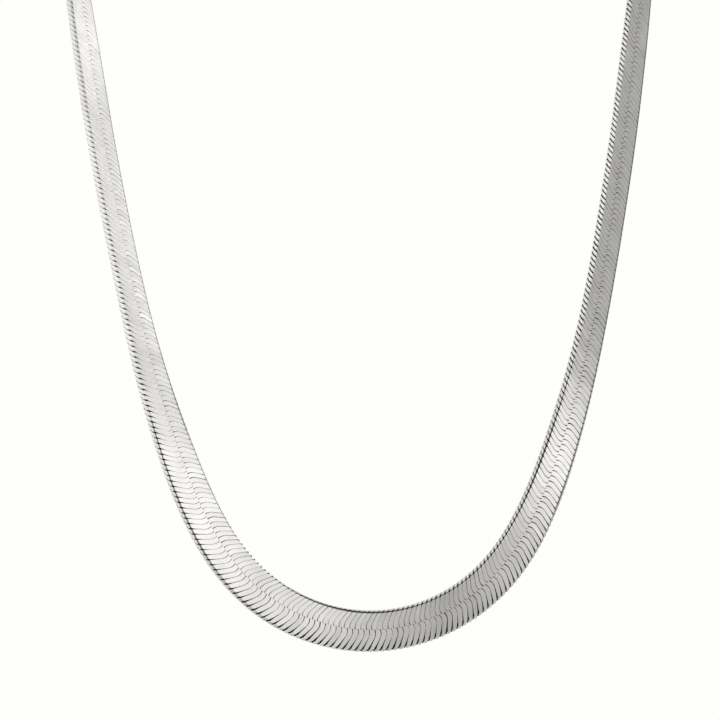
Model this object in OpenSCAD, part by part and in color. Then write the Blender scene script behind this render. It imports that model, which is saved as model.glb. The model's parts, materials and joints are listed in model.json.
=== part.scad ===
// Herringbone chain: a flat woven band worn round the neck, with its end caps and clasp at the nape.
// Millimetres. +Z is up, -Y is the front, +X is the right of someone who looks at the front.
// The origin is the point at the nape where the clasp lies on the neck.

/* [Loop] */
// Width of the loop where it is widest, between the middles of its two sides
loop_w = 114; // [100:2:130]
// Depth of the loop from the nape to the front
loop_d = 84; // [74:2:100]
// Drop of the loop from the nape to its lowest point at the front
loop_h = 150; // [130:5:190]

/* [Band] */
// Width of the band over both rows of slats
band_w = 8; // [6:0.5:10]
// Thickness of the band
band_t = 1.5; // [1.2:0.1:2.2]
// Radius of the band's rounded edges
edge_r = 0.5; // [0.3:0.05:0.55]

/* [End caps] */
// Wall of a cap round the band
cap_wall = 0.45; // [0.3:0.05:0.8]
// Length of band that a cap holds
cap_hold = 4; // [3:0.5:6]
// Metal between a cap's pocket and its ring end
cap_end = 2.4; // [1.6:0.2:4]
// Radius of a cap's corners at its ring end
cap_corner = 2.6; // [1.5:0.1:3]
// Clear gap between the band and the pocket of a cap
cap_gap = 0.15; // [0.1:0.05:0.3]

/* [Rings] */
// Radius of a ring at the middle of its wire
ring_r = 2; // [1.8:0.1:2.6]
// Radius of the ring's wire
wire_r = 0.45; // [0.35:0.05:0.55]

/* [Clasp] */
// Thickness of the clasp
clasp_t = 1.4; // [1:0.1:1.6]
// Distance between the clasp's two eyes
eye_span = 6.8; // [6:0.2:9]
// Radius of the large eye, in the claw
claw_eye_r = 1.7; // [1.3:0.1:2]
// Radius of the small eye, in the tail
tail_eye_r = 0.95; // [0.9:0.05:1.3]
// Metal round the large eye
claw_rim = 1.2; // [0.8:0.1:1.4]
// Metal round the small eye
tail_rim = 0.9; // [0.7:0.1:1.2]
// Clear gap between a ring and the eye that it pulls on
link_gap = 0.3; // [0.15:0.05:0.4]

/* [Hidden] */
round_fn = 48;
// Steps along each span of the route, and along each rounded edge
span_steps = 4;
edge_steps = 2;
eps = 0.01;

// The middle plane of the clasp and caps stands off the neck by the rings' reach
nape_y = ring_r + wire_r;
// Along X from the middle of the clasp to where a ring pulls, to the ring's centre, and so on
pull_x = (eye_span + claw_eye_r + tail_eye_r) / 2;
ring_inner_r = ring_r - wire_r;
ring_x = pull_x - link_gap + sqrt(pow(ring_inner_r, 2) - pow(clasp_t / 2, 2));
cap_x = ring_x + ring_r;
pocket_x = cap_x + cap_end;
band_x = pocket_x + cap_gap;
cap_mouth_x = band_x + cap_hold;
// Straight run of the band as it leaves a cap
end_run = 9.5;

// The way that the band takes down from one cap, round the front and up to the other cap.
// One side is listed, from the lowest point at the front to the nape, and the other mirrors it.
// The band's face turns as it goes, and each side turns in its own way.
// Columns: across, back, up, then for the left and the right side
// the way the face looks: degrees round from the front towards +X, and degrees up.
// The places are those of a loop of this width, depth and drop, and stretch with the real one.
listed_loop = [114, 84, 150];
route = [
    [ 0.0, -84.0, -150.4,   0, -8,    0,  -8],
    [ 8.5, -84.0, -149.2,   0,  1,    4, -13],
    [16.4, -83.9, -145.9,   4,  8,   11, -14],
    [23.1, -83.5, -140.7,  10, 14,   17, -11],
    [28.4, -82.9, -133.9,  19, 18,   23,  -7],
    [32.9, -81.9, -124.9,  26, 18,   30,  -5],
    [36.7, -80.4, -114.5,  34, 18,   37,  -4],
    [40.3, -78.3, -103.0,  45, 19,   45,  -3],
    [43.2, -75.9,  -91.4,  53, 18,   50,  -1],
    [45.7, -73.2,  -79.7,  56, 17,   51,   0],
    [48.0, -70.0,  -67.9,  57, 17,   51,   1],
    [50.2, -66.6,  -56.1,  57, 17,   52,   3],
    [52.1, -62.8,  -44.2,  58, 18,   53,   5],
    [54.0, -58.6,  -32.3,  61, 19,   56,   7],
    [55.6, -53.4,  -22.0,  68, 18,   64,   7],
    [56.8, -45.6,  -13.6,  77, 13,   76,   4],
    [57.0, -36.0,   -8.2,  81,  6,   93,   1],
    [54.8, -25.6,   -4.8,  71,  2,  109,   0],
    [49.8, -15.4,   -2.6,  57,  0,  123,   0],
    [42.0,  -6.8,   -1.2,  41,  0,  139,   0],
    [31.6,  -0.6,   -0.4,  24,  0,  156,   0]
];
// The last stretch into a cap, which doesn't change with the loop
cap_run = [
    [band_x + end_run, nape_y, 0,   8, 0,  172, 0],
    [band_x,           nape_y, 0,   0, 0,  180, 0],
    [band_x - end_run, nape_y, 0,   0, 0,  180, 0]
];
LEFT = -1;
RIGHT = 1;

function stretched(row) = [
    row[0] * loop_w / listed_loop[0],
    row[1] * loop_d / listed_loop[1],
    row[2] * loop_h / listed_loop[2],
    row[3], row[4], row[5], row[6]
];
way = concat([for (row = route) stretched(row)], cap_run);

function place(row, side) = [side * row[0], row[1], row[2]];
function looks(turn, rise) = [cos(rise) * sin(turn), -cos(rise) * cos(turn), sin(rise)];
function face(row, side) = side == LEFT ? looks(row[3], row[4]) : looks(row[5], row[6]);
function left_to_right(left, right) = concat(
    [for (k = [len(left) - 1 : -1 : 1]) left[k]],
    right
);

places = left_to_right(
    [for (row = way) place(row, LEFT)],
    [for (row = way) place(row, RIGHT)]
);
faces = left_to_right(
    [for (row = way) face(row, LEFT)],
    [for (row = way) face(row, RIGHT)]
);

// Smooth curve through the neighbourhood of four listed points, and its direction of travel
function pull(u) = [
    pow(1 - u, 3) / 6,
    (3 * pow(u, 3) - 6 * pow(u, 2) + 4) / 6,
    (-3 * pow(u, 3) + 3 * pow(u, 2) + 3 * u + 1) / 6,
    pow(u, 3) / 6
];
function drift(u) = [
    -pow(1 - u, 2) / 2,
    (3 * pow(u, 2) - 4 * u) / 2,
    (-3 * pow(u, 2) + 2 * u + 1) / 2,
    pow(u, 2) / 2
];
function mix(list, first, shares) =
    shares[0] * list[first] + shares[1] * list[first + 1]
    + shares[2] * list[first + 2] + shares[3] * list[first + 3];
function unit(v) = v / norm(v);

spans = len(places) - 3;
// Each station: centre of the band, its width direction towards the outer edge, and its face
stations = [
    for (step = [0 : spans * span_steps])
        let (
            first = min(floor(step / span_steps), spans - 1),
            u = step / span_steps - first,
            centre = mix(places, first, pull(u)),
            along = unit(mix(places, first, drift(u))),
            turned = mix(faces, first, pull(u)),
            out = unit(turned - (turned * along) * along)
        )
        [centre, cross(along, out), out]
];

// Outline of the band's section, as shares across and through it
section = [
    for (corner = [[1, 1], [-1, 1], [-1, -1], [1, -1]], step = [0 : edge_steps])
        let (
            start = atan2(corner[1], corner[0]) - 45,
            turn = start + 90 * step / edge_steps
        )
        [
            corner[0] * (band_w / 2 - edge_r) + edge_r * cos(turn),
            corner[1] * (band_t / 2 - edge_r) + edge_r * sin(turn)
        ]
];

module swept(stations, section) {
    around = len(section);
    last = len(stations) - 1;
    points = [
        for (station = stations, point = section)
            station[0] + point[0] * station[1] + point[1] * station[2]
    ];
    sides = [
        for (k = [0 : last - 1], j = [0 : around - 1])
            let (
                next = (j + 1) % around,
                a = k * around + j,
                b = k * around + next,
                c = (k + 1) * around + next,
                d = (k + 1) * around + j
            )
            each [[a, b, c], [a, c, d]]
    ];
    start = [[for (j = [around - 1 : -1 : 0]) j]];
    finish = [[for (j = [0 : around - 1]) last * around + j]];
    polyhedron(points = points, faces = concat(sides, start, finish), convexity = 12);
}

module herringbone_band() {
    color("silver") swept(stations, section);
}

// Rectangle with round corners, exact
module rounded_rectangle(size, r) {
    square([size[0] - 2 * r, size[1]], center = true);
    square([size[0], size[1] - 2 * r], center = true);
    for (x = [-1, 1], y = [-1, 1])
        translate([x * (size[0] / 2 - r), y * (size[1] / 2 - r)])
            circle(r, $fn = round_fn);
}

// A bar along X from x0 to x1 with a round-cornered section: its thickness is along Y, its width along Z
module bar(x0, x1, thick, wide, r) {
    translate([x0, nape_y, 0])
        rotate([90, 0, 90])
            linear_extrude(x1 - x0)
                rounded_rectangle([thick, wide], r);
}

// A cap's outline from its flat side: square at the mouth, round-cornered at the ring
module cap_plan(wide) {
    translate([cap_x, -wide / 2 + cap_corner])
        square([cap_mouth_x - cap_x, wide - 2 * cap_corner]);
    translate([cap_x + cap_corner, -wide / 2])
        square([cap_mouth_x - cap_x - cap_corner, wide]);
    for (side = [-1, 1])
        translate([cap_x + cap_corner, side * (wide / 2 - cap_corner)])
            circle(cap_corner, $fn = round_fn);
}

module end_cap() {
    pocket_w = band_w + 2 * cap_gap;
    pocket_t = band_t + 2 * cap_gap;
    wide = pocket_w + 2 * cap_wall;
    thick = pocket_t + 2 * cap_wall;
    difference() {
        intersection() {
            bar(cap_x, cap_mouth_x, thick, wide, edge_r + cap_gap + cap_wall);
            translate([0, nape_y + thick, 0])
                rotate([90, 0, 0])
                    linear_extrude(2 * thick)
                        cap_plan(wide);
        }
        bar(pocket_x, cap_mouth_x + eps, pocket_t, pocket_w, edge_r + cap_gap);
    }
    translate([ring_x, nape_y, 0])
        rotate_extrude($fn = round_fn)
            translate([ring_r, 0])
                circle(wire_r, $fn = round_fn);
}

module end_cap_left() {
    color("silver") mirror([1, 0, 0]) end_cap();
}

module end_cap_right() {
    color("silver") end_cap();
}

// Plate from the large eye to the small one, with sides that run along both rims
module clasp_plan() {
    claw_r = claw_eye_r + claw_rim;
    tail_r = tail_eye_r + tail_rim;
    claw_x = -pull_x + claw_eye_r;
    tail_x = pull_x - tail_eye_r;
    lean = asin((claw_r - tail_r) / eye_span);
    difference() {
        union() {
            translate([claw_x, 0]) circle(claw_r, $fn = round_fn);
            translate([tail_x, 0]) circle(tail_r, $fn = round_fn);
            polygon([
                [claw_x + claw_r * sin(lean), claw_r * cos(lean)],
                [claw_x + claw_r * sin(lean), -claw_r * cos(lean)],
                [tail_x + tail_r * sin(lean), -tail_r * cos(lean)],
                [tail_x + tail_r * sin(lean), tail_r * cos(lean)]
            ]);
        }
        translate([claw_x, 0]) circle(claw_eye_r, $fn = round_fn);
        translate([tail_x, 0]) circle(tail_eye_r, $fn = round_fn);
    }
}

module clasp() {
    color("silver")
        translate([0, nape_y + clasp_t / 2, 0])
            rotate([90, 0, 0])
                linear_extrude(clasp_t)
                    clasp_plan();
}

herringbone_band();
end_cap_left();
end_cap_right();
clasp();
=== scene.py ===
"""Herringbone chain: a flat woven silver band worn round the neck, built slat by slat."""

import json
import math

import bmesh
import bpy
import numpy as np
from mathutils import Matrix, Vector

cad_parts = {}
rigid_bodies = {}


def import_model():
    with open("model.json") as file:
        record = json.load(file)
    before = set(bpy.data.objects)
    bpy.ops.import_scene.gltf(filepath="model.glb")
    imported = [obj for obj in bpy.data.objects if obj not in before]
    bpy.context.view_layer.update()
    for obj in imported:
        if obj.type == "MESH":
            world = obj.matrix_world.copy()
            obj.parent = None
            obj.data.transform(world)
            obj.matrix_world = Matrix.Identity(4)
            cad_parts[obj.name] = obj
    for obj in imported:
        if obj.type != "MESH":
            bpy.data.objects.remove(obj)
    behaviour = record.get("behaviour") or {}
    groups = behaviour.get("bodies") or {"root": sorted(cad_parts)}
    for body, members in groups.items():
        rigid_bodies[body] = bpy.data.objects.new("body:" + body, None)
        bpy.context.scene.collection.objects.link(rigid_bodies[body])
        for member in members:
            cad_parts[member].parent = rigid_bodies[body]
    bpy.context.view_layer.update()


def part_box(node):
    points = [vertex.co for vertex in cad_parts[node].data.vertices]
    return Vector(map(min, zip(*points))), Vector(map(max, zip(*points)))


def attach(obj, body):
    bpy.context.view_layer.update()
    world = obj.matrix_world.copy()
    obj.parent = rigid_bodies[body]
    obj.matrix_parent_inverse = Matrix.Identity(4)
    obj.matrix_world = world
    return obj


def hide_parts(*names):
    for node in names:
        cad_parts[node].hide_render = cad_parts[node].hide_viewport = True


bl_info = {
    "name": "Herringbone Chain",
    "version": (1, 0, 0),
    "blender": (4, 5, 0),
    "location": "3D View > Sidebar > Herringbone",
    "description": "Builds a herringbone neck chain from its slats, end caps and clasp",
    "category": "Add Mesh",
}

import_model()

MM = 0.001
BODY = "root"

# The caps' place comes from the frame: their mouths, their width and the plane that they lie in
cap_low, cap_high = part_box("end_cap_right")
CAP_MOUTH_X = cap_high.x
CAP_WIDTH = cap_high.z - cap_low.z
NAPE_Y = (cap_low.y + cap_high.y) / 2
RING_REACH = (cap_high.y - cap_low.y) / 2

# The way that the band takes, from the lowest point at the front to the nape, in millimetres.
# Columns: across, back, up, then for the left and the right side the way the face looks:
# degrees round from the front towards +X, and degrees up.
ROUTE = (
    (0.0, -84.0, -150.4, 0, -8, 0, -8),
    (8.5, -84.0, -149.2, 0, 1, 4, -13),
    (16.4, -83.9, -145.9, 4, 8, 11, -14),
    (23.1, -83.5, -140.7, 10, 14, 17, -11),
    (28.4, -82.9, -133.9, 19, 18, 23, -7),
    (32.9, -81.9, -124.9, 26, 18, 30, -5),
    (36.7, -80.4, -114.5, 34, 18, 37, -4),
    (40.3, -78.3, -103.0, 45, 19, 45, -3),
    (43.2, -75.9, -91.4, 53, 18, 50, -1),
    (45.7, -73.2, -79.7, 56, 17, 51, 0),
    (48.0, -70.0, -67.9, 57, 17, 51, 1),
    (50.2, -66.6, -56.1, 57, 17, 52, 3),
    (52.1, -62.8, -44.2, 58, 18, 53, 5),
    (54.0, -58.6, -32.3, 61, 19, 56, 7),
    (55.6, -53.4, -22.0, 68, 18, 64, 7),
    (56.8, -45.6, -13.6, 77, 13, 76, 4),
    (57.0, -36.0, -8.2, 81, 6, 93, 1),
    (54.8, -25.6, -4.8, 71, 2, 109, 0),
    (49.8, -15.4, -2.6, 57, 0, 123, 0),
    (42.0, -6.8, -1.2, 41, 0, 139, 0),
    (31.6, -0.6, -0.4, 24, 0, 156, 0),
)
# The last stretch runs straight into a cap, this far before and past the band's end
CAP_HOLD = 4.0
END_RUN = 9.5

# Half of a slat, from its tip at the seam to the edge of the band, in millimetres.
# Columns: place across the band and above its middle, the way out in degrees (90 is up from
# the face, 0 is out from the edge), half width of the flat and of the rim, drop of the rim.
SLAT_HALF = (
    (0.01, 0.75, 90, 0.40, 0.46, 0.06),
    (0.70, 0.75, 90, 0.43, 0.48, 0.05),
    (1.30, 0.75, 90, 0.475, 0.51, 0.03),
    (2.60, 0.75, 90, 0.475, 0.51, 0.03),
    (3.40, 0.75, 84, 0.40, 0.46, 0.07),
    (3.52, 0.58, 45, 0.36, 0.44, 0.10),
    (3.90, 0.36, 15, 0.34, 0.475, 0.14),
)
SLAT_POINTS = 5
# The lip, where the flat face ends, and the crease, where the rounded edge begins
LIP, CREASE = 4, 5
# The share of the way along that a slat makes round the edge by its last two stations
EDGE_SHARES = (0.1, 0.45)
# The next four tables go by the share of the band's length from the left cap, first for the inner
# edge and row and then for the outer ones.
# How strongly painted shade darkens the lip, and the crease, where over 1 also darkens the side
LIP_PAINTED_SHADE = (((0.38, 0.9), (0.42, 0)), ((0.56, 0), (0.59, 1)))
CREASE_PAINTED_SHADE = (
    (
        (0.42, 0), (0.46, 1), (0.49, 1.35), (0.52, 1), (0.57, 1.1), (0.60, 1.35), (0.65, 0.75),
        (0.70, 0.65), (0.72, 0),
    ),
    ((0.35, 0), (0.38, 1), (0.43, 1), (0.46, 0)),
)
# How far apart the slats stand on the rounded edge, over and above the bend's own effect
APART = (
    ((0.59, 0), (0.64, 0.12), (0.69, 0.12), (0.75, 0.03), (0.85, 0.03)),
    ((0.22, 0), (0.30, 0.1), (0.33, 0.12), (0.37, 0.2), (0.46, 0)),
)
# How close together the slats lie on the flat face and on the side
CLOSED = (
    ((0.30, 0.5), (0.42, 0)),
    ((0.12, 0.3), (0.19, 0.95), (0.32, 0.95), (0.43, 0.6), (0.47, 0)),
)
# How much of APART reaches a station: by its rank from the seam
APART_RANKS = ((2, 0), (3, 0.2), (LIP, 0.6), (CREASE, 1))
# How much of its tilt a slat loses where it lies quite closed
CLOSED_CALM = 0.7
# How far the seam lies off the middle on the front face, towards the outer edge and on the back
# the other way: by the share of the band's length, in millimetres
SEAM_SHIFT = ((0.2, 0.1), (0.5, -0.4), (0.8, -0.8))
# The inner row's slats bend nearer to the seam than the outer row's, by this share
INNER_BEND = 0.65
# Where the way is shorter by this share, the slats are crowded without gaps
CROWDED = 0.06
# How much the wedges open across the face: by the share of the way from the seam to the edge
WEDGES = ((0.3125, 0.1), (0.875, 1))
# From its front tip to its back tip a slat goes back along the chain by this many pitches
WRAP_PITCHES = 3.5
# What each point of a slat keeps until it is laid: its place past the slat's middle line, the half
# width of its ring's rim, its depth, its way out and its ring's rank from the seam
SLAT_MARKS = ("offset", "rim", "depth", "way_out", "rank")
# How near to a cut a point counts as lying on it, in metres
CUT_REACH = 1e-7
# Edges are shaded smooth up to the first angle and rounded from the second on, in degrees
SMOOTH_ANGLE, SHARP_ANGLE = 35, 40


# Shared steps


def deselect():
    if bpy.context.object and bpy.context.object.mode != "OBJECT":
        bpy.ops.object.mode_set(mode="OBJECT")
    bpy.ops.object.select_all(action="DESELECT")


def only(obj):
    """Makes this the active object and the only one selected."""
    deselect()
    obj.select_set(True)
    bpy.context.view_layer.objects.active = obj


def named(name):
    """The primitive that was just added, under its own name."""
    obj = bpy.context.object
    obj.name = obj.data.name = name
    return obj


def edit(obj, kind="VERT"):
    only(obj)
    bpy.ops.object.mode_set(mode="EDIT")
    bpy.ops.mesh.select_mode(type=kind)


def leave_edit():
    bpy.ops.object.mode_set(mode="OBJECT")


def pick(obj, wanted, kind="edges"):
    """Selects the edges or faces of the object in edit mode for which wanted() holds."""
    bm = bmesh.from_edit_mesh(obj.data)
    bpy.ops.mesh.select_all(action="DESELECT")
    for part in getattr(bm, kind):
        if wanted(part):
            part.select_set(True)
    bmesh.update_edit_mesh(obj.data)


def way_of(edge):
    return (edge.verts[1].co - edge.verts[0].co).normalized()


def apply_modifier(obj, kind, **values):
    """Adds one modifier with these values and applies it."""
    only(obj)
    modifier = obj.modifiers.new(kind.title(), kind)
    for key, value in values.items():
        setattr(modifier, key, value)
    bpy.ops.object.modifier_apply(modifier=modifier.name)


def combine(obj, other, operation):
    """Joins another solid to this one or cuts it away, and removes the other."""
    apply_modifier(obj, "BOOLEAN", operation=operation, object=other, solver="EXACT")
    bpy.data.objects.remove(other)


def soften(obj, width, segments):
    """Rounds the sharp edges."""
    apply_modifier(
        obj, "BEVEL", width=width, segments=segments, limit_method="ANGLE",
        angle_limit=math.radians(SHARP_ANGLE),
    )


def smooth(obj):
    only(obj)
    bpy.ops.object.shade_smooth_by_angle(angle=math.radians(SMOOTH_ANGLE))


def pick_all():
    bpy.ops.mesh.select_all(action="SELECT")


def close_holes(obj):
    """Closes each open loop of the mesh in edit mode with a face of its own, and clears away
    faces, edges and points that hang on nothing."""
    pick_all()
    bpy.ops.mesh.fill_holes(sides=0)
    pick(obj, lambda f: all(e.is_boundary for e in f.edges), "faces")
    bpy.ops.mesh.delete(type="FACE")
    pick_all()
    bpy.ops.mesh.delete_loose(use_verts=True, use_edges=True, use_faces=False)


def turn_faces(obj):
    """Turns the faces over, because a straight piece is mirrored when it is laid on the route."""
    edit(obj)
    pick_all()
    bpy.ops.mesh.flip_normals()
    leave_edit()


def points_of(mesh):
    """Where the mesh's points lie: along, across and up, each in a column of its own."""
    co = np.zeros(len(mesh.vertices) * 3, np.float32)
    mesh.vertices.foreach_get("co", co)
    return co.reshape(-1, 3).astype(float).T


def set_points(mesh, points):
    mesh.vertices.foreach_set("co", points.astype(np.float32).ravel())
    mesh.update()


def read(mesh, key):
    values = np.zeros(len(mesh.vertices), np.float32)
    mesh.attributes[key].data.foreach_get("value", values)
    return values.astype(float)


def write(mesh, key, *columns):
    """Writes three columns as one vector for each point, which a material can read."""
    layer = mesh.attributes.new(key, "FLOAT_VECTOR", "POINT")
    layer.data.foreach_set("vector", np.stack(columns, axis=-1).astype(np.float32).ravel())


def place_in_mesh(obj):
    """Moves the object's place, turn and size into its mesh."""
    only(obj)
    bpy.ops.object.transform_apply(location=True, rotation=True, scale=True)


def finish_piece(obj, material, slot, *nodes):
    obj.data.materials.clear()
    obj.data.materials.append(material)
    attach(obj, BODY)
    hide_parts(*nodes)


# The way round the neck


def unit(vectors):
    return vectors / np.linalg.norm(vectors, axis=-1, keepdims=True)


def looks(turn, rise):
    turn, rise = math.radians(turn), math.radians(rise)
    return (math.cos(rise) * math.sin(turn), -math.cos(rise) * math.cos(turn), math.sin(rise))


class Route:
    """The band's middle line, with its width and face directions, measured along its length."""

    STEPS = 60

    def __init__(self):
        band_x = CAP_MOUTH_X / MM - CAP_HOLD
        nape = NAPE_Y / MM
        cap_run = (
            (band_x + END_RUN, nape, 0, 8, 0, 172, 0),
            (band_x, nape, 0, 0, 0, 180, 0),
            (band_x - END_RUN, nape, 0, 0, 0, 180, 0),
        )
        way = ROUTE + cap_run
        right = [((x, y, z), looks(*row)) for x, y, z, _, _, *row in way]
        left = [((-x, y, z), looks(turn, rise)) for x, y, z, turn, rise, _, _ in way]
        listed = left[:0:-1] + right
        places = np.array([place for place, _ in listed]) * MM
        faces = np.array([face for _, face in listed])

        u = np.arange(self.STEPS + 1)[:, None] / self.STEPS
        pull = np.hstack([
            (1 - u) ** 3,
            3 * u**3 - 6 * u**2 + 4,
            -3 * u**3 + 3 * u**2 + 3 * u + 1,
            u**3,
        ]) / 6
        self.centre, turned = (self.curve(pull, listing) for listing in (places, faces))
        gaps = np.linalg.norm(np.diff(self.centre, axis=0), axis=1)
        self.along = np.concatenate([[0], np.cumsum(gaps)])
        self.length = self.along[-1]
        self.travel = unit(np.gradient(self.centre, self.along, axis=0))
        dots = np.sum(turned * self.travel, axis=1, keepdims=True)
        self.face = unit(turned - dots * self.travel)
        self.width = np.cross(self.travel, self.face)
        # How much longer the way is per millimetre out towards the outer edge, and up
        self.fan = np.sum(np.gradient(self.width, self.along, axis=0) * self.travel, axis=1)
        self.arch = np.sum(np.gradient(self.face, self.along, axis=0) * self.travel, axis=1)

    @staticmethod
    def curve(pull, listing):
        """The smooth curve that the listed rows pull on, four at a time."""
        spans = [(pull @ listing[k:k + 4])[:-1] for k in range(len(listing) - 3)]
        return np.vstack(spans + [(pull @ listing[-4:])[-1:]])

    def take(self, table, s):
        return np.stack([np.interp(s, self.along, column) for column in table.T], axis=-1)

    def stretch(self, s, across, up):
        """How much longer the way is at this place in the band than along its middle."""
        fan = np.interp(s, self.along, self.fan)
        arch = np.interp(s, self.along, self.arch)
        return 1 + across * fan + up * arch

    def point(self, s, across, up):
        width, face = unit(self.take(self.width, s)), unit(self.take(self.face, s))
        return self.take(self.centre, s) + across[:, None] * width + up[:, None] * face


# Slats


def at(place, table):
    """The table's value at this place, in a straight line from one of its rows to the next."""
    return np.interp(place, *zip(*table))


def lean(distance):
    """How far along the chain a slat has moved at this distance from the seam, in millimetres.
    It starts with a slight slant one way, bends, and runs to the edge with a stronger one."""
    start, bend, turn_at, soft = 0.25, 0.80, 0.9, 0.25
    bent = math.log1p(math.exp((distance - turn_at) / soft)) - math.log1p(math.exp(-turn_at / soft))
    return start * distance - bend * soft * bent


def slat_stations(pitch):
    """Every ring of a slat: its rank from the seam, its place along, across and up, its way out,
    and its two half widths with the drop of the rim. The back half is the front half turned over
    about the edge's middle."""
    wrap = WRAP_PITCHES * pitch / MM
    lip_along = lean(SLAT_HALF[LIP][0])
    over_edge = wrap / 2 + lip_along
    front, back = [], []
    for rank, (across, up, out, *widths) in enumerate(SLAT_HALF):
        along = lean(across)
        if rank > LIP:
            along = lip_along - over_edge * EDGE_SHARES[rank - CREASE]
        front.append((rank, along, across, up, out, *widths))
        back.append((rank, -wrap - along, across, -up, -out, *widths))
    return front + back[::-1]


def ring_of(station, thickness):
    """The five points of a ring, the first past the middle line and then round, with their
    distance from that line and their depth under the top, in metres."""
    _, along, across, up, out, flat, rim, rim_drop = station
    out = math.radians(out)
    corners = ((flat, 0), (rim, rim_drop), (0, thickness / MM), (-rim, rim_drop), (-flat, 0))
    return [
        (
            Vector((along + off, across - drop * math.cos(out), up - drop * math.sin(out))) * MM,
            off * MM,
            drop * MM,
        )
        for off, drop in corners
    ]


def drag_ring(obj, station, thickness):
    """Drags the selected points of the slat's newest ring to their places."""
    bm = bmesh.from_edit_mesh(obj.data)
    layers = bm.verts.layers
    corner = layers.int["corner"]
    marks = [layers.float[key] for key in SLAT_MARKS]
    ring = [v for v in bm.verts if v.select]
    places = ring_of(station, thickness)
    for vert in ring:
        place, off, drop = places[vert[corner]]
        values = (off, station[6] * MM, drop, math.radians(station[4]), station[0])
        for mark, value in zip(marks, values):
            vert[mark] = value
        bpy.ops.mesh.select_all(action="DESELECT")
        vert.select_set(True)
        bpy.ops.transform.translate(value=place - vert.co)
    for vert in ring:
        vert.select_set(True)
    bm.select_flush(True)
    bmesh.update_edit_mesh(obj.data)


def slat(name, pitch, thickness):
    """One slat of the outer row, closed, with its front tip at the seam at the origin."""
    deselect()
    bpy.ops.mesh.primitive_circle_add(
        vertices=SLAT_POINTS, radius=pitch / 2, fill_type="NGON", rotation=(math.pi / 2, 0, 0)
    )
    obj = named(name)
    place_in_mesh(obj)
    edit(obj)
    bm = bmesh.from_edit_mesh(obj.data)
    for key in SLAT_MARKS:
        bm.verts.layers.float.new(key)
    corner = bm.verts.layers.int.new("corner")
    for k, vert in enumerate(sorted(bm.verts, key=lambda v: math.atan2(v.co.x, v.co.z) % math.tau)):
        vert[corner] = k
    stations = slat_stations(pitch)
    pick_all()
    drag_ring(obj, stations[0], thickness)
    for station in stations[1:]:
        bpy.ops.mesh.extrude_region_move()
        drag_ring(obj, station, thickness)
    pick_all()
    bpy.ops.mesh.normals_make_consistent(inside=False)
    leave_edit()
    smooth(obj)
    return obj


def trim(obj, length):
    """Cuts the straight row of slats off square at both ends of the band."""
    edit(obj)
    for x, way in ((0.0, -1), (length, 1)):
        pick_all()
        bpy.ops.mesh.bisect(
            plane_co=(x, 0, 0), plane_no=(way, 0, 0), clear_outer=True, threshold=CUT_REACH
        )
    close_holes(obj)
    leave_edit()


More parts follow.
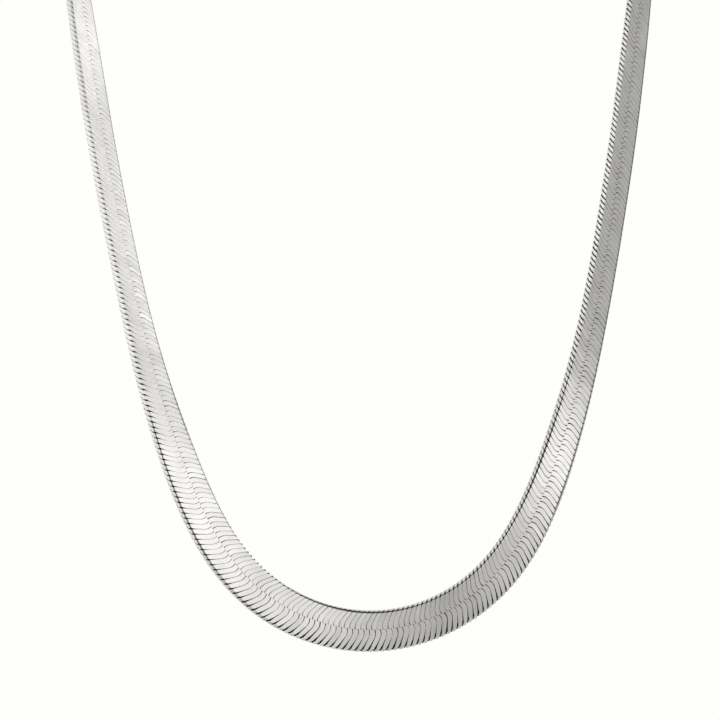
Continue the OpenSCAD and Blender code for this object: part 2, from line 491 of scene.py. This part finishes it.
class Row:
    """The points of a straight row of slats, and how they come to lie on the band's way."""

    def __init__(self, mesh, route, band, seed):
        self.route, self.band = route, band
        self.pitch = route.length / band.rows
        s, self.across, self.up = points_of(mesh)
        self.off, self.rim, self.depth, self.way_out, self.rank = (
            read(mesh, key) for key in SLAT_MARKS
        )
        self.edge = 0 if self.across.mean() < 0 else 1
        if self.edge == 0:
            self.off, self.way_out = -self.off, math.pi - self.way_out
            at_bend = self.rank.round() == 1
            self.across = np.where(at_bend, self.across * INNER_BEND, self.across)
        self.middle = s - self.off
        self.share = self.middle / route.length
        self.closed = at(self.share, CLOSED[self.edge])
        self.closed_face = self.closed * (self.rank < LIP)
        self.closed_side = self.closed * (self.rank > CREASE)
        self.ids = read(mesh, "slat_id").round().astype(int)
        self.take_chances(seed)

    def take_chances(self, seed):
        """Makes no two slats quite alike: each is a little narrower, more closed at the seam, off
        its place and tilted."""
        chance = np.random.default_rng(seed)
        slats = self.ids.max() + 1
        self.narrower = chance.random(slats)[self.ids] ** 3
        self.shut = chance.random(slats)[self.ids] ** 3 * (self.rank < 2)
        slide, self.tilt = chance.normal(size=(slats, 2))[self.ids].T
        self.middle = np.clip(self.middle + slide * self.band.slide, 0, self.route.length)

    def lift(self):
        """Tilts the slats, lifts their rims where they lie closed, and shifts the seam."""
        band = self.band
        lift = self.off * np.tan(self.tilt * band.tilt) * (1 - CLOSED_CALM * self.closed)
        at_top = self.depth < band.slat_thickness / 2
        lift += (self.closed_face + self.closed_side) * self.depth * at_top
        self.across = self.across + lift * np.cos(self.way_out)
        self.up = self.up + lift * np.sin(self.way_out)
        shift = at(self.share, SEAM_SHIFT) * MM
        inside = np.clip(1 - np.abs(self.across) / (band.width / 2), 0, 1)
        self.across = self.across + shift * inside * self.up / (band.thickness / 2)

    def spread(self):
        """Keeps the slats' width where the band fans out, so that wedges open near the edge, and
        crowds them without gaps on the inside of a bend."""
        band = self.band
        stretch = self.route.stretch(self.middle, self.across, self.up)
        crowded = np.clip((1 - stretch) / CROWDED, 0, 1) * (self.rank <= LIP)
        tight = np.maximum(np.maximum(crowded, self.shut), self.closed_face + self.closed_side)
        full = (self.pitch - band.slat_gap) / 2 / np.maximum(self.rim, self.pitch / 10)
        wedge = at(np.abs(self.across) / (band.width / 2), WEDGES)
        fanned = (np.maximum(stretch, 1) - 1) * wedge * np.maximum(1 - 2 * self.closed, 0)
        fanned = np.where(self.rank >= CREASE, np.abs(stretch - 1), fanned)
        apart = at(self.share, APART[self.edge]) * at(self.rank, APART_RANKS)
        parted = (apart + band.parting * fanned) * (1 - self.closed_side)
        narrow = 1 - band.uneven * (1 - self.closed) * self.narrower
        self.off = self.off * (1 + tight * (full - 1)) * narrow / (1 + parted)

    def points(self):
        s = np.clip(self.middle + self.off, 0, self.route.length)
        return self.route.point(s, self.across, self.up)

    def paint(self, mesh):
        """Writes what the silver reads: the way of its grain, and its depth, lip and crease, which
        set its painted shade.
        """
        half_width, half_thick = self.band.width / 2, self.band.thickness / 2
        round_edge = np.sign(self.across) * (half_width + half_thick - self.up)
        reach = np.where(np.abs(self.up) > half_thick / 2, self.across, round_edge)
        write(mesh, "grain", self.off, reach, self.ids * self.pitch * 7)
        # The lip and the crease are painted dark as shade along the tables' stretches, and past 1
        # the rounded side too
        lip = at(self.share, LIP_PAINTED_SHADE[self.edge]) * (self.rank == LIP)
        crease = at(self.share, CREASE_PAINTED_SHADE[self.edge])
        side = np.maximum(crease - 1, 0) * (self.rank > CREASE)
        crease = crease * (self.rank == CREASE) + side
        write(mesh, "shade", self.depth / self.band.slat_thickness, lip, crease)


def lay_slats(obj, route, band, seed):
    """Lays a straight row of slats on the band's way."""
    mesh = obj.data
    row = Row(mesh, route, band, seed)
    row.lift()
    row.spread()
    set_points(mesh, row.points())
    row.paint(mesh)
    for key in (*SLAT_MARKS, "corner", "slat_id"):
        mesh.attributes.remove(mesh.attributes[key])


def number_slats(obj):
    """Gives each slat of the straight row its number."""
    mesh = obj.data
    slat_size = SLAT_POINTS * 2 * len(SLAT_HALF)
    ids = np.arange(len(mesh.vertices)) // slat_size
    layer = mesh.attributes.new("slat_id", "FLOAT", "POINT")
    layer.data.foreach_set("value", ids.astype(np.float32))


def row_of_slats(name, band, route, side):
    """One row of the band: side 1 is the outer row and -1 the inner one."""
    pitch = route.length / band.rows
    obj = slat(name, pitch, band.slat_thickness)
    spare = math.ceil(WRAP_PITCHES) + 2
    if side < 0:
        edit(obj)
        pick_all()
        bpy.ops.transform.rotate(value=math.pi, orient_axis="Z", center_override=(0, 0, 0))
        bpy.ops.transform.translate(value=((0.5 - spare) * pitch, 0, 0))
        leave_edit()
    apply_modifier(
        obj, "ARRAY", count=band.rows + spare, use_relative_offset=False,
        use_constant_offset=True, constant_offset_displace=(pitch, 0, 0),
    )
    number_slats(obj)
    trim(obj, route.length)
    lay_slats(obj, route, band, seed=11 + side)
    turn_faces(obj)
    return obj


def core(name, band, route):
    """The inside of the weave, a sheet painted dark as shade, which shows only through the gaps
    between slats.
    """
    deselect()
    bpy.ops.mesh.primitive_grid_add(x_subdivisions=band.rows, y_subdivisions=6, size=1)
    obj = named(name)
    obj.scale = (route.length, band.width - 2 * band.fin_gap, 1)
    obj.location = (route.length / 2, 0, 0)
    place_in_mesh(obj)
    apply_modifier(
        obj, "SOLIDIFY", offset=0,
        thickness=band.thickness - 2 * band.slat_thickness - band.core_gap * 2,
    )
    s, across, up = points_of(obj.data)
    s = np.clip(s, 0, route.length)
    # The second column is drawn out to the slats' creases, and past it the core is a thin fin
    inner = band.width / 2 - band.slat_thickness - band.core_gap
    rank = np.abs(across) / np.abs(across).max()
    across = np.where(np.abs(rank - 2 / 3) < 0.1, np.sign(across) * inner, across)
    up = np.where(rank > 0.9, up * 0.2, up)
    set_points(obj.data, route.point(s, across, up))
    turn_faces(obj)
    return obj


# Caps and clasp

# How many flat cuts make up one rounded corner of a cap
CORNER_CUTS = 10


def round_corner(end, side, radius):
    """Cuts one corner of the plate in edit mode round, in flat cuts."""
    centre = Vector((end + radius, NAPE_Y, side * (CAP_WIDTH / 2 - radius)))
    for k in range(CORNER_CUTS):
        turn = math.pi / 2 * (k + 0.5) / CORNER_CUTS
        way = Vector((-math.cos(turn), 0, side * math.sin(turn)))
        pick_all()
        bpy.ops.mesh.bisect(
            plane_co=centre + way * radius * math.cos(math.pi / 4 / CORNER_CUTS), plane_no=way,
            use_fill=True, clear_outer=True, threshold=CUT_REACH,
        )


def end_cap(name, fittings):
    """The right cap: a flat sleeve with a round-cornered end, a pocket for the band and a ring."""
    ring_r, wire_r = RING_REACH - fittings.wire_radius, fittings.wire_radius
    ring_x = cap_low.x + RING_REACH
    cap_x = ring_x + ring_r
    thick = fittings.cap_thickness
    deselect()
    bpy.ops.mesh.primitive_cube_add(size=1, location=((cap_x + CAP_MOUTH_X) / 2, NAPE_Y, 0))
    obj = named(name)
    obj.scale = (CAP_MOUTH_X - cap_x, thick, CAP_WIDTH)
    place_in_mesh(obj)
    edit(obj, "EDGE")
    pick(obj, lambda e: abs(way_of(e).x) > 0.9)
    bpy.ops.mesh.bevel(offset=fittings.cap_edge, segments=6, affect="EDGES")
    for side in (-1, 1):
        round_corner(cap_x, side, fittings.cap_corner)
    bpy.ops.mesh.select_mode(type="FACE")
    pick(obj, lambda f: f.normal.x > 0.9 and f.calc_center_median().x > CAP_MOUTH_X - 1e-5, "faces")
    bpy.ops.mesh.inset(thickness=fittings.cap_wall)
    bpy.ops.mesh.extrude_region_move(
        TRANSFORM_OT_translate={"value": (-fittings.pocket, 0, 0)}
    )
    leave_edit()
    soften(obj, fittings.soft_edge, 3)
    deselect()
    bpy.ops.mesh.primitive_torus_add(
        location=(ring_x, NAPE_Y, 0), major_radius=ring_r, minor_radius=wire_r,
        major_segments=64, minor_segments=20,
    )
    ring = named(name + "_ring")
    place_in_mesh(ring)
    combine(obj, ring, "UNION")
    edit(obj)
    close_holes(obj)
    leave_edit()
    smooth(obj)
    return obj


def across_the_nape(obj, name):
    """A copy of the right cap, turned about the nape to the left side."""
    only(obj)
    bpy.ops.object.duplicate(linked=False)
    copy = named(name)
    edit(copy)
    pick_all()
    bpy.ops.transform.rotate(value=math.pi, orient_axis="Z", center_override=(0, NAPE_Y, 0))
    leave_edit()
    return copy


def disc(name, x, radius, depth):
    deselect()
    bpy.ops.mesh.primitive_cylinder_add(
        vertices=64, radius=radius, depth=depth, location=(x, NAPE_Y, 0),
        rotation=(math.pi / 2, 0, 0),
    )
    obj = named(name)
    place_in_mesh(obj)
    return obj


def clasp(name, fittings):
    """A plain plate with a large and a small eye, which the two rings pass through."""
    low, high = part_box("clasp")
    depth = high.y - low.y
    claw_r, tail_r = high.z, fittings.tail_radius
    claw_x, tail_x = low.x + claw_r, high.x - tail_r
    obj = disc(name, claw_x, claw_r, depth)
    tail = disc(name + "_tail", tail_x, tail_r, depth)
    tail.select_set(True)
    obj.select_set(True)
    bpy.context.view_layer.objects.active = obj
    bpy.ops.object.join()
    edit(obj)
    pick_all()
    bpy.ops.mesh.convex_hull()
    pick_all()
    bpy.ops.mesh.dissolve_limited(angle_limit=math.radians(1))
    leave_edit()
    for x, eye in ((claw_x, fittings.claw_eye), (tail_x, fittings.tail_eye)):
        combine(obj, disc(name + "_eye", x, eye, depth * 2), "DIFFERENCE")
    soften(obj, fittings.clasp_edge, 4)
    smooth(obj)
    return obj


# Materials


def material(name):
    made = bpy.data.materials.new(name)
    made.use_nodes = True
    return made, made.node_tree.nodes, made.node_tree.links, made.node_tree.nodes["Principled BSDF"]


def noise(nodes, links, source, scale, detail=3.0, roughness=0.5, stretch=(1, 1, 1)):
    """Noise on these coordinates, stretched by a Mapping node."""
    mapping = nodes.new("ShaderNodeMapping")
    mapping.inputs["Scale"].default_value = stretch
    texture = nodes.new("ShaderNodeTexNoise")
    texture.inputs["Scale"].default_value = scale
    texture.inputs["Detail"].default_value = detail
    texture.inputs["Roughness"].default_value = roughness
    links.new(source, mapping.inputs["Vector"])
    links.new(mapping.outputs["Vector"], texture.inputs["Vector"])
    return texture.outputs["Fac"]


def ramp(nodes, links, source, *stops):
    made = nodes.new("ShaderNodeValToRGB")
    links.new(source, made.inputs["Fac"])
    elements = made.color_ramp.elements
    while len(elements) < len(stops):
        elements.new(0.5)
    for element, (place, value) in zip(elements, stops):
        element.position = place
        colour = (value,) * 3 if isinstance(value, float) else value
        element.color = (*colour, 1)
    return made.outputs["Color"]


def times(nodes, links, one, other):
    """One colour multiplied by another."""
    mix = nodes.new("ShaderNodeMix")
    mix.data_type, mix.blend_type = "RGBA", "MULTIPLY"
    mix.inputs["Factor"].default_value = 1
    links.new(one, mix.inputs["A"])
    links.new(other, mix.inputs["B"])
    return mix.outputs["Result"]


def bump(nodes, links, height, distance, strength, under=None):
    made = nodes.new("ShaderNodeBump")
    made.inputs["Distance"].default_value = distance
    made.inputs["Strength"].default_value = strength
    links.new(height, made.inputs["Height"])
    if under:
        links.new(under, made.inputs["Normal"])
    return made.outputs["Normal"]


def satin_silver(band):
    """Flattened slats: silver with fine lines drawn along each slat, with painted shade down in the
    gaps and along the lip and the crease of the edges.
    """
    made, nodes, links, shader = material("satin_silver")
    grain = nodes.new("ShaderNodeAttribute")
    grain.attribute_name = "grain"
    shade = nodes.new("ShaderNodeAttribute")
    shade.attribute_name = "shade"
    parts = nodes.new("ShaderNodeSeparateXYZ")
    links.new(shade.outputs["Vector"], parts.inputs["Vector"])
    place = nodes.new("ShaderNodeTexCoord").outputs["Object"]
    bright, dull = tuple(band.silver), tuple(0.9 * c for c in band.silver)
    cloud = noise(nodes, links, place, 260, detail=4)
    tone = ramp(nodes, links, cloud, (0.35, bright), (0.7, dull))
    # Painted shade: the deeper a point lies under the slat's top, the darker its colour
    depth = ramp(nodes, links, parts.outputs["X"], (0.25, 1.0), (0.75, 0.08))
    # Painted shade along the lip and the crease of the edges
    for edge in ("Y", "Z"):
        painted_shade = ramp(nodes, links, parts.outputs[edge], (0.55, 1.0), (0.9, 0.08))
        tone = times(nodes, links, tone, painted_shade)
    links.new(times(nodes, links, tone, depth), shader.inputs["Base Color"])
    lines = noise(nodes, links, grain.outputs["Vector"], 9000, detail=2, stretch=(1, 0.04, 1))
    links.new(
        ramp(nodes, links, lines, (0.3, band.roughness - 0.05), (0.7, band.roughness + 0.06)),
        shader.inputs["Roughness"],
    )
    soft = noise(nodes, links, place, 900, detail=2)
    waves = bump(nodes, links, soft, 0.00002, 0.35)
    links.new(bump(nodes, links, lines, 0.000004, 0.5, under=waves), shader.inputs["Normal"])
    shader.inputs["Metallic"].default_value = 1
    return made


def inner_shadow():
    """The inside of the weave, painted near black as shade."""
    made, nodes, links, shader = material("inner_shadow")
    place = nodes.new("ShaderNodeTexCoord").outputs["Object"]
    cloud = noise(nodes, links, place, 1500)
    links.new(ramp(nodes, links, cloud, (0.3, 0.015), (0.7, 0.04)), shader.inputs["Base Color"])
    links.new(bump(nodes, links, cloud, 0.00005, 0.5), shader.inputs["Normal"])
    shader.inputs["Roughness"].default_value = 0.8
    shader.inputs["Metallic"].default_value = 0.3
    return made


def polished_silver(fittings):
    """Caps, rings and clasp: brighter silver with faint handling marks."""
    made, nodes, links, shader = material("polished_silver")
    place = nodes.new("ShaderNodeTexCoord").outputs["Object"]
    cloud = noise(nodes, links, place, 350, detail=5)
    marks = noise(nodes, links, place, 2600, detail=3, stretch=(1, 0.3, 0.12))
    bright, dull = tuple(fittings.silver), tuple(0.93 * c for c in fittings.silver)
    links.new(ramp(nodes, links, cloud, (0.4, bright), (0.7, dull)), shader.inputs["Base Color"])
    links.new(ramp(nodes, links, marks, (0.35, 0.14), (0.7, 0.26)), shader.inputs["Roughness"])
    links.new(bump(nodes, links, marks, 0.00001, 0.25), shader.inputs["Normal"])
    shader.inputs["Metallic"].default_value = 1
    return made


def pale_floor(studio):
    made, nodes, links, shader = material("pale_floor")
    place = nodes.new("ShaderNodeTexCoord").outputs["Object"]
    cloud = noise(nodes, links, place, 3, detail=4)
    bright, dull = tuple(studio.floor_colour), tuple(0.97 * c for c in studio.floor_colour)
    links.new(ramp(nodes, links, cloud, (0.4, bright), (0.7, dull)), shader.inputs["Base Color"])
    shader.inputs["Roughness"].default_value = 0.9
    return made


# Floor, light and camera


def floor(studio):
    deselect()
    bpy.ops.mesh.primitive_circle_add(
        vertices=128, radius=studio.floor_radius, fill_type="NGON",
        location=(0, 0, studio.floor_height),
    )
    obj = named("floor")
    place_in_mesh(obj)
    obj.data.materials.append(pale_floor(studio))
    obj.visible_glossy = False


# The flags and lamps in the white room, which a fit to the band's light and dark zones chose.
# Columns: where each stands as seen from the chain, in degrees round from the back towards +X and
# degrees up, the cosines where it fades to nothing and where it is full, and its strength, which
# is below zero for a black flag.
LIGHT_FIELDS = (
    (60, 45, 0.85, 0.97, 1.7),
    (135, 0, 0.5, 1.0, 1.05),
    (240, -15, 0.0, 0.9, 0.7),
    (15, 0, 0.0, 0.9, 0.35),
    (150, -15, 0.75, 0.95, -0.8),
    (225, -30, 0.75, 0.95, -0.65),
    (60, 60, 0.85, 0.97, -0.55),
    (60, 45, 0.8, 1.0, -0.35),
    (30, 15, 0.85, 0.97, -0.35),
    (60, 0, 0.75, 0.95, -0.3),
)


def studio_light(studio):
    """A pale room, brighter where its large soft lamps stand."""
    world = bpy.data.worlds.new("studio")
    bpy.context.scene.world = world
    world.use_nodes = True
    nodes, links = world.node_tree.nodes, world.node_tree.links
    background = nodes["Background"]
    way = nodes.new("ShaderNodeTexCoord").outputs["Generated"]
    total = None
    # Each sum takes in one more field, and the first one starts from the room's own light
    for turn, rise, fade, full, strength in LIGHT_FIELDS:
        dot = nodes.new("ShaderNodeVectorMath")
        dot.operation = "DOT_PRODUCT"
        dot.inputs[1].default_value = looks(180 - turn, rise)
        links.new(way, dot.inputs[0])
        reach = nodes.new("ShaderNodeMapRange")
        reach.interpolation_type = "SMOOTHSTEP"
        reach.inputs["From Min"].default_value = fade
        reach.inputs["From Max"].default_value = full
        reach.inputs["To Max"].default_value = strength
        links.new(dot.outputs["Value"], reach.inputs["Value"])
        add = nodes.new("ShaderNodeMath")
        add.inputs[0].default_value = studio.room_light
        if total:
            links.new(total, add.inputs[0])
        links.new(reach.outputs["Result"], add.inputs[1])
        total = add.outputs["Value"]
    base = nodes.new("ShaderNodeMath")
    base.operation = "MAXIMUM"
    base.inputs[1].default_value = studio.least_light
    links.new(total, base.inputs[0])
    seen = nodes.new("ShaderNodeLightPath").outputs["Is Camera Ray"]
    choose = nodes.new("ShaderNodeMix")
    choose.inputs["B"].default_value = 1.0
    links.new(seen, choose.inputs["Factor"])
    links.new(base.outputs["Value"], choose.inputs["A"])
    links.new(choose.outputs["Result"], background.inputs["Strength"])
    background.inputs["Color"].default_value = (*studio.backdrop, 1)


def camera(studio):
    """A long lens, level with the middle of the hanging part."""
    data = bpy.data.cameras.new("camera")
    obj = bpy.data.objects.new("camera", data)
    bpy.context.scene.collection.objects.link(obj)
    data.lens = studio.lens
    data.clip_start, data.clip_end = 0.01, 50
    obj.location = studio.camera_place
    obj.rotation_euler = (math.pi / 2, studio.camera_roll, 0)
    bpy.context.scene.camera = obj


# Settings


class BandSettings(bpy.types.PropertyGroup):
    """Sizes and colour of the woven band"""

    width: bpy.props.FloatProperty(
        name="Width", description="Width of the band over both rows of slats",
        default=8 * MM, unit="LENGTH", precision=5,
    )
    thickness: bpy.props.FloatProperty(
        name="Thickness", description="Thickness of the band", default=1.5 * MM, unit="LENGTH",
        precision=5,
    )
    rows: bpy.props.IntProperty(
        name="Rows", description="Slats in each of the two rows, from cap to cap", default=468,
    )
    slat_thickness: bpy.props.FloatProperty(
        name="Slat thickness", description="Depth of a slat under its crown", default=0.4 * MM,
        unit="LENGTH", precision=5,
    )
    core_gap: bpy.props.FloatProperty(
        name="Core gap", description="Clear gap between the slats and the dark core",
        default=0.03 * MM, unit="LENGTH", precision=5,
    )
    fin_gap: bpy.props.FloatProperty(
        name="Fin gap", description="How far the core's thin fin stays inside the band's edge",
        default=0.25 * MM, unit="LENGTH", precision=5,
    )
    slat_gap: bpy.props.FloatProperty(
        name="Slat gap", description="Gap between slats where they crowd together",
        default=0.02 * MM, unit="LENGTH", precision=6,
    )
    parting: bpy.props.FloatProperty(
        name="Parting", description="How strongly the slats part on the edge of a bend",
        default=3.0,
    )
    slide: bpy.props.FloatProperty(
        name="Slide", description="How far a slat typically sits off its place",
        default=0.006 * MM, unit="LENGTH", precision=6,
    )
    tilt: bpy.props.FloatProperty(
        name="Tilt", description="How far a slat typically tilts about its length",
        default=math.radians(1.0), subtype="ANGLE",
    )
    uneven: bpy.props.FloatProperty(
        name="Uneven", description="How much narrower than its place the narrowest slat is",
        default=0.1,
    )
    roughness: bpy.props.FloatProperty(
        name="Roughness", description="Roughness of the flattened faces", default=0.3,
    )
    silver: bpy.props.FloatVectorProperty(
        name="Silver", description="Colour of the slats", default=(0.80, 0.79, 0.78),
        size=3, subtype="COLOR",
    )


class FittingSettings(bpy.types.PropertyGroup):
    """Sizes and colour of the end caps, their rings and the clasp"""

    wire_radius: bpy.props.FloatProperty(
        name="Wire radius", description="Radius of a ring's wire", default=0.45 * MM,
        unit="LENGTH", precision=5,
    )
    cap_thickness: bpy.props.FloatProperty(
        name="Cap thickness", description="Thickness of a cap over its pocket",
        default=2.7 * MM, unit="LENGTH", precision=5,
    )
    cap_corner: bpy.props.FloatProperty(
        name="Cap corner", description="Radius of a cap's corners at its ring end",
        default=2.6 * MM, unit="LENGTH", precision=5,
    )
    cap_edge: bpy.props.FloatProperty(
        name="Cap edge", description="Radius of a cap's long edges", default=1.1 * MM,
        unit="LENGTH", precision=5,
    )
    cap_wall: bpy.props.FloatProperty(
        name="Cap wall", description="Wall of a cap round the band", default=0.45 * MM,
        unit="LENGTH", precision=5,
    )
    pocket: bpy.props.FloatProperty(
        name="Pocket", description="Depth of a cap's pocket", default=4.15 * MM,
        unit="LENGTH", precision=5,
    )
    soft_edge: bpy.props.FloatProperty(
        name="Soft edge", description="Rounding of a cap's sharp edges", default=0.12 * MM,
        unit="LENGTH", precision=5,
    )
    tail_radius: bpy.props.FloatProperty(
        name="Tail radius", description="Radius of the clasp round its small eye",
        default=1.85 * MM, unit="LENGTH", precision=5,
    )
    claw_eye: bpy.props.FloatProperty(
        name="Large eye", description="Radius of the clasp's large eye", default=1.7 * MM,
        unit="LENGTH", precision=5,
    )
    tail_eye: bpy.props.FloatProperty(
        name="Small eye", description="Radius of the clasp's small eye", default=0.95 * MM,
        unit="LENGTH", precision=5,
    )
    clasp_edge: bpy.props.FloatProperty(
        name="Clasp edge", description="Rounding of the clasp's edges", default=0.22 * MM,
        unit="LENGTH", precision=5,
    )
    silver: bpy.props.FloatVectorProperty(
        name="Silver", description="Colour of the caps and the clasp",
        default=(0.82, 0.81, 0.79), size=3, subtype="COLOR",
    )


class StudioSettings(bpy.types.PropertyGroup):
    """Floor, light and camera"""

    floor_height: bpy.props.FloatProperty(
        name="Floor height", description="Height of the floor under the hanging chain",
        default=-0.8, unit="LENGTH",
    )
    floor_radius: bpy.props.FloatProperty(
        name="Floor radius", description="Reach of the floor", default=5.0, unit="LENGTH",
    )
    floor_colour: bpy.props.FloatVectorProperty(
        name="Floor", description="Colour of the floor", default=(0.93, 0.93, 0.92),
        size=3, subtype="COLOR",
    )
    backdrop: bpy.props.FloatVectorProperty(
        name="Backdrop", description="Colour of the pale room", default=(0.99, 0.99, 0.98),
        size=3, subtype="COLOR",
    )
    room_light: bpy.props.FloatProperty(
        name="Room light", description="Light of the room where nothing stands", default=0.53,
    )
    least_light: bpy.props.FloatProperty(
        name="Least light", description="Light of the room behind its black flags", default=0.05,
    )
    camera_place: bpy.props.FloatVectorProperty(
        name="Camera", description="Place of the camera",
        default=(-1.28 * MM, -734 * MM, -99.4 * MM), size=3, subtype="TRANSLATION",
    )
    camera_roll: bpy.props.FloatProperty(
        name="Camera roll", description="How far the camera leans to one side",
        default=math.radians(1.1), subtype="ANGLE",
    )
    lens: bpy.props.FloatProperty(
        name="Lens", description="Focal length of the camera in millimetres", default=174.2,
    )


# Operators


class HERRINGBONE_OT_band(bpy.types.Operator):
    """Build the two rows of slats and the dark core that they wrap"""

    bl_idname = "herringbone.band"
    bl_label = "Woven Band"

    def execute(self, context):
        band = context.scene.herringbone_band
        route = Route()
        silver = satin_silver(band)
        for name, side in (("outer_slats", 1), ("inner_slats", -1)):
            finish_piece(
                row_of_slats(name, band, route, side), silver, "silver_band", "herringbone_band"
            )
        finish_piece(core("weave_core", band, route), inner_shadow(), None, "herringbone_band")
        return {"FINISHED"}


class HERRINGBONE_OT_end_caps(bpy.types.Operator):
    """Build the two end caps with their rings"""

    bl_idname = "herringbone.end_caps"
    bl_label = "End Caps"

    def execute(self, context):
        fittings = context.scene.herringbone_fittings
        silver = polished_silver(fittings)
        right = end_cap("cap_right", fittings)
        left = across_the_nape(right, "cap_left")
        finish_piece(right, silver, "silver_fittings", "end_cap_right")
        finish_piece(left, silver, "silver_fittings", "end_cap_left")
        return {"FINISHED"}


class HERRINGBONE_OT_clasp(bpy.types.Operator):
    """Build the plain clasp"""

    bl_idname = "herringbone.clasp"
    bl_label = "Clasp"

    def execute(self, context):
        fittings = context.scene.herringbone_fittings
        silver = bpy.data.materials.get("polished_silver") or polished_silver(fittings)
        finish_piece(clasp("clasp_plate", fittings), silver, "silver_fittings", "clasp")
        return {"FINISHED"}


class HERRINGBONE_OT_studio(bpy.types.Operator):
    """Set up the floor, the light and the camera"""

    bl_idname = "herringbone.studio"
    bl_label = "Studio"

    def execute(self, context):
        studio = context.scene.herringbone_studio
        context.scene.view_settings.view_transform = "Standard"
        floor(studio)
        studio_light(studio)
        camera(studio)
        return {"FINISHED"}


class HERRINGBONE_PT_chain(bpy.types.Panel):
    """Steps and settings of the chain"""

    bl_label = "Herringbone Chain"
    bl_idname = "HERRINGBONE_PT_chain"
    bl_space_type = "VIEW_3D"
    bl_region_type = "UI"
    bl_category = "Herringbone"

    def draw(self, context):
        for step, settings in STEPS:
            self.layout.operator(step.bl_idname)
            if settings:
                group = getattr(context.scene, settings)
                for key in group.__annotations__:
                    self.layout.prop(group, key)


STEPS = (
    (HERRINGBONE_OT_studio, "herringbone_studio"),
    (HERRINGBONE_OT_band, "herringbone_band"),
    (HERRINGBONE_OT_end_caps, "herringbone_fittings"),
    (HERRINGBONE_OT_clasp, None),
)
SETTINGS = (
    ("herringbone_studio", StudioSettings),
    ("herringbone_band", BandSettings),
    ("herringbone_fittings", FittingSettings),
)
CLASSES = (
    *(group for _, group in SETTINGS),
    *(step for step, _ in STEPS),
    HERRINGBONE_PT_chain,
)


def register():
    for cls in CLASSES:
        bpy.utils.register_class(cls)
    for key, group in SETTINGS:
        setattr(bpy.types.Scene, key, bpy.props.PointerProperty(type=group))


def unregister():
    for key, _ in SETTINGS:
        delattr(bpy.types.Scene, key)
    for cls in reversed(CLASSES):
        bpy.utils.unregister_class(cls)


def main():
    register()
    bpy.ops.herringbone.studio()
    bpy.ops.herringbone.band()
    bpy.ops.herringbone.end_caps()
    bpy.ops.herringbone.clasp()


if __name__ == "__main__":
    main()
